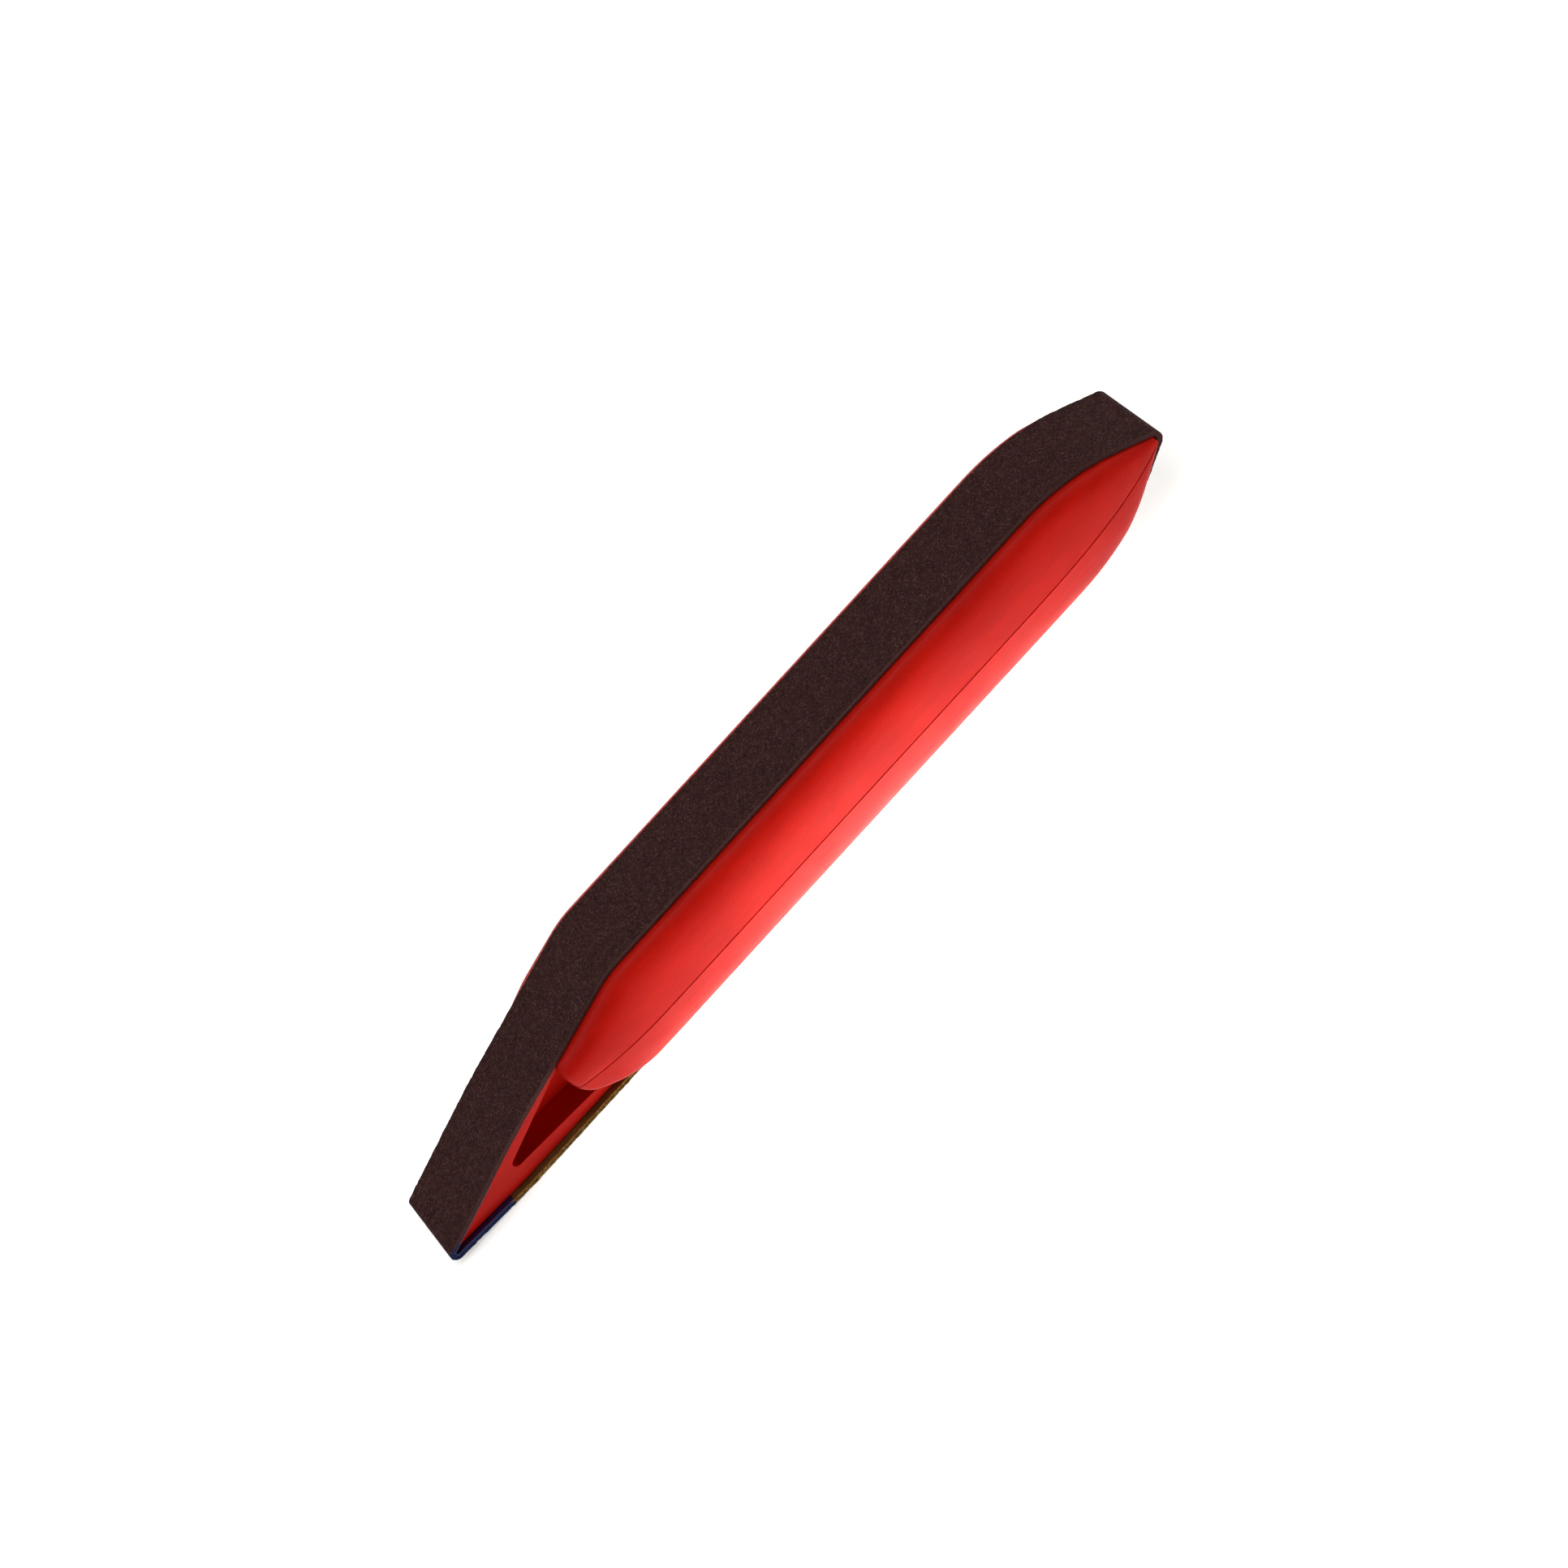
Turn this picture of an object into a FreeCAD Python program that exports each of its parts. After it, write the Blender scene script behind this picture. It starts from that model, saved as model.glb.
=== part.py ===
import FreeCAD, Part
import math
import os

import Sketcher

# Sanding stick: a narrow abrasive belt held tight round a two-shell handle by a spring-loaded tip.
# Frame: +X runs from the sliding tip to the fixed pointed end, +Z is up, and the origin is at the
# middle of the footprint, on the plane that the belt's lower run lies on. Millimetres.

# Driving dimensions. Every "at" value is a distance along the stick from the outside of the tip.
DIMENSIONS = {
    "total_length": 148.0,
    "total_height": 18.6,
    "belt_width": 12.7,
    "backing_thick": 0.5,
    "grit_thick": 0.35,
    "tape_thick": 0.08,
    "tape_reach": 11.7,
    "belt_play": 0.1,
    # outside line of the belt, as the rollers that it runs round
    "tip_radius": 1.25,
    "tip_rise": 2.1,
    "crown_radius": 120.0,
    "crown_at": 18.0,
    "crown_rise": 9.95,
    "crown_slope": 20.2,
    "shoulder_radius": 14.0,
    "shoulder_at": 46.6,
    "taper_radius": 31.0,
    "taper_at": 126.0,
    "under_taper_radius": 30.6,
    "under_taper_at": 125.6,
    "nose_radius": 1.8,
    "nose_rise": 9.6,
    "heel_radius": 60.0,
    "heel_at": 16.5,
    # handle: widest section, plan taper of both ends, and the rounded bow over the tip's sides
    "handle_width": 21.7,
    "handle_end_gap": 1.2,
    "bed_width": 13.0,
    "bow_at": 29.8,
    "bow_low_radius": 4.0,
    "bow_low_slope": 30.0,
    "bow_high_radius": 3.4,
    "bow_high_slope": 48.0,
    "bow_high_rise": 11.2,
    "bow_half_width": 8.6,
    "bow_taper_end": 46.0,
    "nose_taper_at": 112.0,
    "nose_half_width": 6.3,
    # sliding tip
    "slider_width": 10.6,
    "slider_play": 0.15,
    "flange_end": 38.0,
    "recess_at": 15.4,
    "recess_end": 32.8,
    "recess_apex_radius": 0.8,
    "recess_corner_radius": 1.2,
    "recess_apex_rise": 4.7,
    "recess_top_rise": 12.35,
    "recess_floor_rise": 2.8,
    "web_thick": 1.6,
    "shank_at": 36.5,
    "shank_end": 70.0,
    "shank_width": 8.0,
    "shank_height": 10.0,
    "lug_at": 60.0,
    "lug_length": 3.0,
    "lug_width": 10.4,
    "lug_height": 4.0,
    "travel": 6.5,
    # spring in the shank's blind bore
    "bore_radius": 2.9,
    "bore_at": 48.0,
    "coil_radius": 2.2,
    "wire_radius": 0.3,
    "coil_pitch": 2.4,
    # inside of the handle
    "bed_at": 45.0,
    "hollow_at": 83.0,
    "hollow_end": 126.0,
    "hollow_width": 13.2,
    "hollow_height": 13.0,
    "nose_hollow_at": 130.5,
    "nose_hollow_end": 140.0,
    "nose_hollow_width": 9.0,
    "nose_hollow_height": 6.4,
    "peg_radius": 1.1,
    "peg_height": 3.0,
    "peg_depth": 1.5,
    "peg_side": 7.2,
    "peg_play": 0.1,
}

# Where the pegs that line up the two shells stand along the stick.
PEG_PLACES = {"front_peg_at": 50.0, "middle_peg_at": 80.75, "rear_peg_at": 128.3}

# The side of the handle's section is one quadratic curve from the seam, over the bed's edge, to a
# start point just above the bed. Its start and its pull (the middle control point), from that edge:
SIDE_START_IN = 1.35
SIDE_START_RISE = 0.3
SIDE_PULL_OUT = 3.6
SIDE_PULL_RISE = 0.6
# where the handle is narrow, the pull keeps to this share of the room beside the bed
SIDE_PULL_SHARE = 1.1
NOSE_SIDE = 0.2

doc = FreeCAD.newDocument("sanding_stick")
sheet = doc.addObject("Spreadsheet::Sheet", "dims")
for row, (alias, value) in enumerate({**DIMENSIONS, **PEG_PLACES}.items(), start=1):
    sheet.set(f"A{row}", alias)
    sheet.set(f"B{row}", str(value))
    sheet.setAlias(f"B{row}", alias)
doc.recompute()

SIDE_VIEW = FreeCAD.Placement(FreeCAD.Vector(0, 0, 0), FreeCAD.Rotation(FreeCAD.Vector(1, 0, 0), 90))
MID = "dims.total_height / 2"


def value_of(alias):
    return float(sheet.get(alias))


def along(alias):
    """Expression for the X of a place that the sheet gives from the outside of the tip."""
    return f"dims.{alias} - dims.total_length / 2"


def evaluate(expression):
    return float(getattr(sheet.evalExpression(expression), "Value", sheet.evalExpression(expression)))


def bind(item, **expressions):
    for name, expression in expressions.items():
        item.setExpression(name.replace("__", "."), expression)
    return item


# ---------------------------------------------------------------- building blocks

def roller_loop(name, rollers):
    """Sketch in the side view: the closed line of a belt that runs clockwise round the rollers.

    Each roller is three expressions: centre along X, centre in height, and radius.
    """
    sketch = doc.addObject("Sketcher::SketchObject", name)
    sketch.Placement = SIDE_VIEW
    circles = [[evaluate(item) for item in roller] for roller in rollers]
    count = len(circles)
    normals = []
    for first, second in zip(circles, circles[1:] + circles[:1]):
        run = math.atan2(second[1] - first[1], second[0] - first[0])
        lean = math.asin((second[2] - first[2]) / math.dist(first[:2], second[:2]))
        normals.append(run + math.pi / 2 + lean)

    def touch(circle, angle):
        middle_x, middle_y, radius = circle
        return FreeCAD.Vector(middle_x + radius * math.cos(angle), middle_y + radius * math.sin(angle), 0)

    for index, circle in enumerate(circles):
        middle = FreeCAD.Vector(circle[0], circle[1], 0)
        start, end = normals[index], normals[index - 1]
        full = Part.Circle(middle, FreeCAD.Vector(0, 0, 1), circle[2])
        sketch.addGeometry(Part.ArcOfCircle(full, start, end))
    for index in range(count):
        following = circles[(index + 1) % count]
        sketch.addGeometry(
            Part.LineSegment(touch(circles[index], normals[index]), touch(following, normals[index]))
        )
    for index in range(count):
        sketch.addConstraint(Sketcher.Constraint("Tangent", count + index, 1, index, 1))
        sketch.addConstraint(Sketcher.Constraint("Tangent", count + index, 2, (index + 1) % count, 2))
    for index, (roller, circle) in enumerate(zip(rollers, circles)):
        for kind, expression, number in zip(("DistanceX", "DistanceY"), roller[:2], circle[:2]):
            if number < 0:
                added = sketch.addConstraint(Sketcher.Constraint(kind, index, 3, -1, 1, -number))
                sketch.setExpression(f"Constraints[{added}]", f"-({expression})")
            else:
                added = sketch.addConstraint(Sketcher.Constraint(kind, -1, 1, index, 3, number))
                sketch.setExpression(f"Constraints[{added}]", expression)
        added = sketch.addConstraint(Sketcher.Constraint("Radius", index, circle[2]))
        sketch.setExpression(f"Constraints[{added}]", roller[2])
    return sketch


def inset(name, source, depth):
    """The closed line that runs inside another one at an even depth."""
    line = doc.addObject("Part::Offset2D", name)
    line.Source = source
    line.Join = 0
    return bind(line, Value=f"-({depth})")


def slab(name, outline, width):
    """Outline of the side view, extruded to a width that is centred on the stick."""
    solid = doc.addObject("Part::Extrusion", name)
    solid.Base = outline
    solid.DirMode = "Custom"
    solid.Dir = FreeCAD.Vector(0, 1, 0)
    solid.Solid = True
    solid.Symmetric = True
    return bind(solid, LengthFwd=width)


def block(name, start, end, width, low, high):
    """Box from start to end along the stick, centred across it, between two heights."""
    box = doc.addObject("Part::Box", name)
    return bind(
        box,
        Length=f"({end}) - ({start})",
        Width=width,
        Height=f"({high}) - ({low})",
        Placement__Base__x=start,
        Placement__Base__y=f"-({width}) / 2",
        Placement__Base__z=low,
    )


def centred_block(name, start, end, width, height):
    """Box that is centred on the seam as well as across the stick."""
    return block(name, start, end, width, f"{MID} - ({height}) / 2", f"{MID} + ({height}) / 2")


def cut(name, base, tool):
    result = doc.addObject("Part::Cut", name)
    result.Base = base
    result.Tool = tool
    return result


def common(name, base, tool):
    result = doc.addObject("Part::Common", name)
    result.Base = base
    result.Tool = tool
    return result


def fuse(name, *shapes):
    result = doc.addObject("Part::MultiFuse", name)
    result.Shapes = list(shapes)
    return result


# ---------------------------------------------------------------- belt

belt_outside = roller_loop("belt_outside", [
    (along("tip_radius"), "dims.tip_rise", "dims.tip_radius"),
    (
        along("crown_at") + " + dims.crown_radius * sin(dims.crown_slope)",
        "dims.crown_rise - dims.crown_radius * cos(dims.crown_slope)",
        "dims.crown_radius",
    ),
    (along("shoulder_at"), "dims.total_height - dims.shoulder_radius", "dims.shoulder_radius"),
    (along("taper_at"), "dims.total_height - dims.taper_radius", "dims.taper_radius"),
    ("dims.total_length / 2 - dims.nose_radius", "dims.nose_rise", "dims.nose_radius"),
    (along("under_taper_at"), "dims.under_taper_radius", "dims.under_taper_radius"),
    (along("heel_at"), "dims.heel_radius", "dims.heel_radius"),
])
backing_outside = inset("backing_outside", belt_outside, "dims.grit_thick")
belt_inside = inset("belt_inside", belt_outside, "dims.grit_thick + dims.backing_thick")
tape_inside = inset("tape_inside", belt_outside, "dims.grit_thick + dims.backing_thick + dims.tape_thick")

grit_outer = slab("grit_outer", belt_outside, "dims.belt_width")
backing_outer = slab("backing_outer", backing_outside, "dims.belt_width")
backing_inner = slab("backing_inner", belt_inside, "dims.belt_width")
tape_inner = slab("tape_inner", tape_inside, "dims.belt_width")

belt_grit_coat = cut("belt_grit_coat", grit_outer, backing_outer)
belt_backing = cut("belt_backing", backing_outer, backing_inner)
tape_ring = cut("tape_ring", backing_inner, tape_inner)
tape_part = block(
    "tape_part", "-dims.total_length / 2", along("tape_reach"), "dims.belt_width", "0", "dims.total_height"
)
belt_splice_tape = common("belt_splice_tape", tape_ring, tape_part)

# ---------------------------------------------------------------- sliding tip

slider_line = inset(
    "slider_line", belt_outside, "dims.grit_thick + dims.backing_thick + dims.tape_thick + dims.belt_play"
)
slider_slab = slab("slider_slab", slider_line, "dims.slider_width")
wedge_part = block(
    "wedge_part", "-dims.total_length / 2", along("flange_end"), "dims.slider_width",
    "0", "dims.total_height",
)
wedge = common("wedge", slider_slab, wedge_part)

recess_back = along("recess_end") + " - dims.recess_corner_radius"
recess_outline = roller_loop("recess_outline", [
    (along("recess_at") + " + dims.recess_apex_radius", "dims.recess_apex_rise", "dims.recess_apex_radius"),
    (recess_back, "dims.recess_top_rise - dims.recess_corner_radius", "dims.recess_corner_radius"),
    (recess_back, "dims.recess_floor_rise + dims.recess_corner_radius", "dims.recess_corner_radius"),
])
recess_slab = slab("recess_slab", recess_outline, "dims.slider_width + 2")
web = block(
    "web", "-dims.total_length / 2", along("flange_end"), "dims.web_thick", "0", "dims.total_height"
)
recesses = cut("recesses", recess_slab, web)
recessed_wedge = cut("recessed_wedge", wedge, recesses)

shank = centred_block(
    "shank", along("shank_at"), along("shank_end"), "dims.shank_width", "dims.shank_height"
)
lugs = centred_block(
    "lugs", along("lug_at"), along("lug_at") + " + dims.lug_length", "dims.lug_width", "dims.lug_height"
)
bore = doc.addObject("Part::Cylinder", "bore")
bore.Placement.Rotation = FreeCAD.Rotation(FreeCAD.Vector(0, 1, 0), 90)
bind(
    bore,
    Radius="dims.bore_radius",
    Height="dims.shank_end - dims.bore_at + 1",
    Placement__Base__x=along("bore_at"),
    Placement__Base__z=MID,
)
solid_slider = fuse("solid_slider", recessed_wedge, shank, lugs)
tip_slider = cut("tip_slider", solid_slider, bore)

# ---------------------------------------------------------------- spring

spring_seat = "dims.shank_end + dims.travel + 2"
spring_start = along("bore_at") + " + dims.wire_radius"
helix = doc.addObject("Part::Helix", "spring_line")
helix.Placement.Rotation = FreeCAD.Rotation(FreeCAD.Vector(0, 1, 0), 90)
bind(
    helix,
    Pitch="dims.coil_pitch",
    Height=f"{spring_seat} - dims.bore_at - 2 * dims.wire_radius",
    Radius="dims.coil_radius",
    Placement__Base__x=spring_start,
    Placement__Base__z=MID,
)
wire_section = doc.addObject("Part::Circle", "wire_section")
wire_section.Placement.Rotation = FreeCAD.Rotation(FreeCAD.Vector(1, 0, 0), 90)
bind(
    wire_section,
    Radius="dims.wire_radius",
    Placement__Base__x=spring_start,
    Placement__Base__z=f"{MID} - dims.coil_radius",
)
tension_spring = doc.addObject("Part::Sweep", "tension_spring")
tension_spring.Sections = [wire_section]
tension_spring.Spine = (helix, ["Edge1"])
tension_spring.Solid = True
tension_spring.Frenet = True

# ---------------------------------------------------------------- handle

doc.recompute()
SECTION_COUNT = 25
HALF_LENGTH = value_of("total_length") / 2
SEAM_HEIGHT = value_of("total_height") / 2


def half_width(place):
    """Half width at the seam, at a place given from the outside of the tip."""
    widest = value_of("handle_width") / 2
    if place < value_of("bow_taper_end"):
        reach = value_of("bow_taper_end") - value_of("bow_at")
        share = (value_of("bow_taper_end") - place) / reach
        return widest - (widest - value_of("bow_half_width")) * share ** 2
    if place > value_of("nose_taper_at"):
        reach = value_of("total_length") - value_of("nose_taper_at")
        share = (place - value_of("nose_taper_at")) / reach
        return widest - (widest - value_of("nose_half_width")) * share ** 3.5
    return widest


def bed_heights(outline, x):
    """Lowest and highest point of a closed side-view line at one X."""
    probe = Part.makeLine(FreeCAD.Vector(x, 0, -50), FreeCAD.Vector(x, 0, 50))
    heights = []
    for edge in outline.Shape.Edges:
        for pair in edge.distToShape(probe)[1]:
            if pair[0].distanceToPoint(pair[1]) < 1e-6:
                heights.append(pair[0].z)
    return min(heights), max(heights)


def side_section(place, bed_height):
    """Half of the handle's section, between the seam and just past the belt's bed."""
    x = place - HALF_LENGTH
    outer = half_width(place)
    edge = min(value_of("bed_width") / 2, outer - NOSE_SIDE)
    share = (bed_height - SEAM_HEIGHT) / (SEAM_HEIGHT - value_of("grit_thick") - value_of("backing_thick"))
    start_height = bed_height + SIDE_START_RISE * share
    pull_height = bed_height + SIDE_PULL_RISE * share
    pull_out = edge + min(SIDE_PULL_OUT, SIDE_PULL_SHARE * (outer - edge))
    edges = [Part.makeLine(FreeCAD.Vector(x, -outer, SEAM_HEIGHT), FreeCAD.Vector(x, outer, SEAM_HEIGHT))]
    for side in (1, -1):
        curve = Part.BezierCurve()
        poles = [(outer, SEAM_HEIGHT), (pull_out, pull_height), (edge - SIDE_START_IN, start_height)]
        curve.setPoles([FreeCAD.Vector(x, side * across, height) for across, height in poles[::side]])
        edges.append(curve.toShape())
    start = edge - SIDE_START_IN
    top = Part.makeLine(FreeCAD.Vector(x, start, start_height), FreeCAD.Vector(x, -start, start_height))
    edges.insert(2, top)
    return Part.Wire(edges)


def half_form(name, outline, direction):
    """One half of the handle's outer form, a little proud of the belt's bed."""
    first = value_of("bow_at") - 0.5
    last = value_of("total_length") - value_of("handle_end_gap")
    sections = []
    for index in range(SECTION_COUNT):
        share = (1 - math.cos(math.pi * index / (SECTION_COUNT - 1))) / 2
        place = first + (last - first) * share
        low, high = bed_heights(outline, place - HALF_LENGTH)
        sections.append(side_section(place, high if direction > 0 else low))
    form = doc.addObject("Part::Feature", name)
    form.Shape = Part.makeLoft(sections, True, False)
    return form


handle_line = inset(
    "handle_line", belt_outside, "dims.grit_thick + dims.backing_thick + dims.belt_play"
)
doc.recompute()
handle_slab = slab("handle_slab", handle_line, "dims.handle_width + 2")

# The bow: the handle's rounded front end in the side view. It is upright between two rollers, one on
# the seam and one above it, and slopes back from each of them, past the far end of the stick.
bow_back = "dims.total_length / 2 + 5"
bow_low_x = along("bow_at") + " + dims.bow_low_radius"
bow_high_x = along("bow_at") + " + dims.bow_high_radius"
bow_outline = roller_loop("bow_outline", [
    (bow_low_x, MID, "dims.bow_low_radius"),
    (bow_high_x, "dims.bow_high_rise", "dims.bow_high_radius"),
    (
        bow_back, f"dims.bow_high_rise + ({bow_back} - ({bow_high_x})) * tan(dims.bow_high_slope)",
        "dims.bow_high_radius",
    ),
    (bow_back, f"{MID} - ({bow_back} - ({bow_low_x})) * tan(dims.bow_low_slope)", "dims.bow_low_radius"),
])
bow_region = slab("bow_region", bow_outline, "dims.handle_width + 4")

# Everything that both shells leave open: the mouth between the bow's cheeks, the channel of the
# shank with the slots of its lugs, and the hollows behind the spring's seat.
channel_play = "2 * dims.slider_play"
mouth = block(
    "mouth", along("bow_at") + " - 2", along("bed_at"),
    f"dims.slider_width + {channel_play}", "-1", "dims.total_height + 1"
)
channel = centred_block(
    "channel", along("bed_at") + " - 1", along("shank_end") + " + dims.travel + 2",
    f"dims.shank_width + {channel_play}", f"dims.shank_height + {channel_play}"
)
lug_slots = centred_block(
    "lug_slots", along("lug_at") + " - dims.slider_play",
    along("lug_at") + " + dims.lug_length + dims.travel + dims.slider_play",
    f"dims.lug_width + {channel_play}", f"dims.lug_height + {channel_play}"
)
hollow = centred_block(
    "hollow", along("hollow_at"), along("hollow_end"), "dims.hollow_width", "dims.hollow_height"
)
nose_hollow = centred_block(
    "nose_hollow", along("nose_hollow_at"), along("nose_hollow_end"),
    "dims.nose_hollow_width", "dims.nose_hollow_height"
)
inside = fuse("inside", mouth, channel, lug_slots, hollow, nose_hollow)


def peg_row(name, radius, low, high):
    """Pins at every peg place, on both sides of the stick, between two heights."""
    pins = []
    for place in PEG_PLACES:
        for side in (1, -1):
            pin = doc.addObject("Part::Cylinder", f"{name}_pin")
            pins.append(bind(
                pin,
                Radius=radius,
                Height=f"({high}) - ({low})",
                Placement__Base__x=along(place),
                Placement__Base__y=f"{side} * dims.peg_side",
                Placement__Base__z=low,
            ))
    return fuse(name, *pins)


pegs = peg_row("pegs", "dims.peg_radius", f"{MID} - dims.peg_depth", f"{MID} + dims.peg_height")
sockets = peg_row(
    "sockets", "dims.peg_radius + dims.peg_play", MID, f"{MID} + dims.peg_height + 2 * dims.peg_play"
)

upper_form = half_form("upper_form", handle_line, 1)
lower_form = half_form("lower_form", handle_line, -1)
bowed_slab = common("bowed_slab", handle_slab, bow_region)
upper_blank = common("upper_blank", upper_form, bowed_slab)
lower_blank = common("lower_blank", lower_form, bowed_slab)
upper_hollowed = cut("upper_hollowed", upper_blank, inside)
lower_hollowed = cut("lower_hollowed", lower_blank, inside)
upper_shell = cut("upper_shell", upper_hollowed, sockets)
lower_shell = fuse("lower_shell", lower_hollowed, pegs)

# ---------------------------------------------------------------- checks and export

SUB_PARTS = {
    "upper_shell": upper_shell,
    "lower_shell": lower_shell,
    "tip_slider": tip_slider,
    "tension_spring": tension_spring,
    "belt_backing": belt_backing,
    "belt_grit_coat": belt_grit_coat,
    "belt_splice_tape": belt_splice_tape,
}

for label, item in SUB_PARTS.items():
    item.Label = label
doc.recompute()

for item in doc.Objects:
    if "Invalid" in item.State or "Error" in item.State:
        raise RuntimeError(f"{item.Name} did not recompute: {item.State}")

os.makedirs("parts", exist_ok=True)
for label, item in SUB_PARTS.items():
    shape = item.Shape
    if shape.isNull() or not shape.isValid():
        raise RuntimeError(f"{label} has no valid shape")
    box = shape.optimalBoundingBox()
    print(
        f"{label}: {len(shape.Solids)} solid(s), {shape.Volume:.1f} mm3, "
        f"x {box.XMin:.2f}..{box.XMax:.2f}, y {box.YMin:.2f}..{box.YMax:.2f}, "
        f"z {box.ZMin:.2f}..{box.ZMax:.2f}"
    )
    shape.exportStep(f"parts/{label}.step")
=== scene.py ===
"""Sanding stick: a narrow abrasive belt held tight round a red two-shell handle and its sprung tip.

The handle's shells and the belt are modelled here in fine detail on the lines of the CAD frame.
Everything is in metres, in the row frame: +X towards the fixed point, +Z up, the belt's lower run
on the floor.
"""

import math

import bmesh
import bpy
import numpy as np
from mathutils import Matrix, Vector, noise


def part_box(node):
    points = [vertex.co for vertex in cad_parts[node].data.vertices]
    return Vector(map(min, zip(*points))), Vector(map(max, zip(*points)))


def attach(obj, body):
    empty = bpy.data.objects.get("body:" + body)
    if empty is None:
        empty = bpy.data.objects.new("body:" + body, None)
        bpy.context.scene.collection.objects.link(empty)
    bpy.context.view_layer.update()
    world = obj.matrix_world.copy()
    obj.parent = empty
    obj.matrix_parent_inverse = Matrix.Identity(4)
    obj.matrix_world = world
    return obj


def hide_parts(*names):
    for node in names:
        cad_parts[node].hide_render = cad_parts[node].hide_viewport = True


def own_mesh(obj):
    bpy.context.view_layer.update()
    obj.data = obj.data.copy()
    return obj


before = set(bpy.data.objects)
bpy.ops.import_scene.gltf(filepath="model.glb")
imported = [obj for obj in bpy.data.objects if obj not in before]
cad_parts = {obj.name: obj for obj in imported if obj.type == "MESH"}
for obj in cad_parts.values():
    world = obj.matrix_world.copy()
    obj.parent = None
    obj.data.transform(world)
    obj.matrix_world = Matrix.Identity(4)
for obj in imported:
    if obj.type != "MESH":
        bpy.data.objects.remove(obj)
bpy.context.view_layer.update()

MM = 0.001

# ---------------------------------------------------------------- sizes read from the frame


def top_of(node):
    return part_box(node)[1][2]


GRIT_THICK = top_of("belt_grit_coat") - top_of("belt_backing")
TOTAL_HEIGHT = top_of("belt_grit_coat")
TOTAL_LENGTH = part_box("belt_grit_coat")[1][0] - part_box("belt_grit_coat")[0][0]
BELT_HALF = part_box("belt_grit_coat")[1][1]
HANDLE_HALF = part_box("upper_shell")[1][1]
SEAM_Z = TOTAL_HEIGHT / 2
BED_DEPTH = TOTAL_HEIGHT - top_of("upper_shell")
TIP_X = -TOTAL_LENGTH / 2
HANDLE_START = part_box("upper_shell")[0][0]
HANDLE_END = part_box("upper_shell")[1][0]
SLIDER_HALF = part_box("tip_slider")[1][1]

# What the frame's boxes do not give, the same as in the CAD model.
BELT_PLAY = 0.1 * MM
BACKING_THICK = BED_DEPTH - GRIT_THICK - BELT_PLAY
TAPE_THICK = 0.08 * MM
TAPE_REACH = 11.7 * MM
BED_HALF = 6.5 * MM
BOW_HIGH_Z = 11.2 * MM
BOW_LOW_RADIUS = 4.0 * MM
BOW_HIGH_RADIUS = 3.4 * MM
BOW_LOW_SLOPE = math.radians(30)
BOW_HIGH_SLOPE = math.radians(48)
BOW_HALF_WIDTH = 8.6 * MM
BOW_TAPER_END = TIP_X + 46 * MM
NOSE_TAPER_START = TIP_X + 112 * MM
NOSE_HALF_WIDTH = 6.3 * MM
BED_START = TIP_X + 45 * MM


# ---------------------------------------------------------------- the belt's line

SAME_POINT = 0.001 * MM
SAME_PLANE = 0.01 * MM
ON_FLOOR = 0.05 * MM
LOOP_STEP = 0.22 * MM


def outline(node):
    """Outer closed line of a ring-shaped CAD node, seen from the side, as (x, z) points."""
    work = bmesh.new()
    work.from_mesh(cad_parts[node].data)
    bmesh.ops.remove_doubles(work, verts=work.verts, dist=SAME_POINT)
    side = max(vert.co.y for vert in work.verts)
    links = {}
    for edge in work.edges:
        if min(vert.co.y for vert in edge.verts) < side - SAME_PLANE or len(edge.link_faces) != 2:
            continue
        flat = sorted(abs(face.normal.y) for face in edge.link_faces)
        if flat[0] < 0.5 < flat[1]:
            first, second = edge.verts
            links.setdefault(first, []).append(second)
            links.setdefault(second, []).append(first)
    loops = []
    left = set(links)
    while left:
        here = min(left, key=lambda vert: vert.index)
        loop = [here]
        left.discard(here)
        while True:
            onward = [vert for vert in links[here] if vert in left]
            if not onward:
                break
            here = onward[0]
            left.discard(here)
            loop.append(here)
        loops.append([(vert.co.x, vert.co.z) for vert in loop])
    work.free()
    return np.array(max(loops, key=lambda loop: max(x for x, z in loop)))


def even_loop(points, step):
    """The closed line again with even steps, clockwise from the middle of the lower run."""
    area = np.sum(points[:, 0] * np.roll(points[:, 1], -1) - np.roll(points[:, 0], -1) * points[:, 1])
    if area > 0:
        points = points[::-1]
    low = np.where(points[:, 1] < ON_FLOOR)[0]
    points = np.roll(points, -low[np.argmin(np.abs(points[low, 0]))], axis=0)
    closed = np.vstack([points, points[:1]])
    travelled = np.concatenate([[0], np.cumsum(np.linalg.norm(np.diff(closed, axis=0), axis=1))])
    count = int(round(travelled[-1] / step))
    at = np.arange(count) * travelled[-1] / count
    return np.stack([np.interp(at, travelled, closed[:, axis]) for axis in (0, 1)], axis=1), travelled[-1]


LOOP, LOOP_LENGTH = even_loop(outline("belt_grit_coat"), LOOP_STEP)
tangent = np.roll(LOOP, -2, axis=0) - np.roll(LOOP, 2, axis=0)
tangent /= np.linalg.norm(tangent, axis=1)[:, None]
LOOP_NORMAL = np.stack([-tangent[:, 1], tangent[:, 0]], axis=1)


def bed_height(x, side):
    """Height of the handle's belt bed at x, above (side 1) or below (side -1) the seam."""
    line = LOOP - LOOP_NORMAL * BED_DEPTH
    part = line[(line[:, 1] - SEAM_Z) * side > 0]
    order = np.argsort(part[:, 0])
    return float(np.interp(x, part[order, 0], part[order, 1]))


# ---------------------------------------------------------------- node materials


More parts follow.
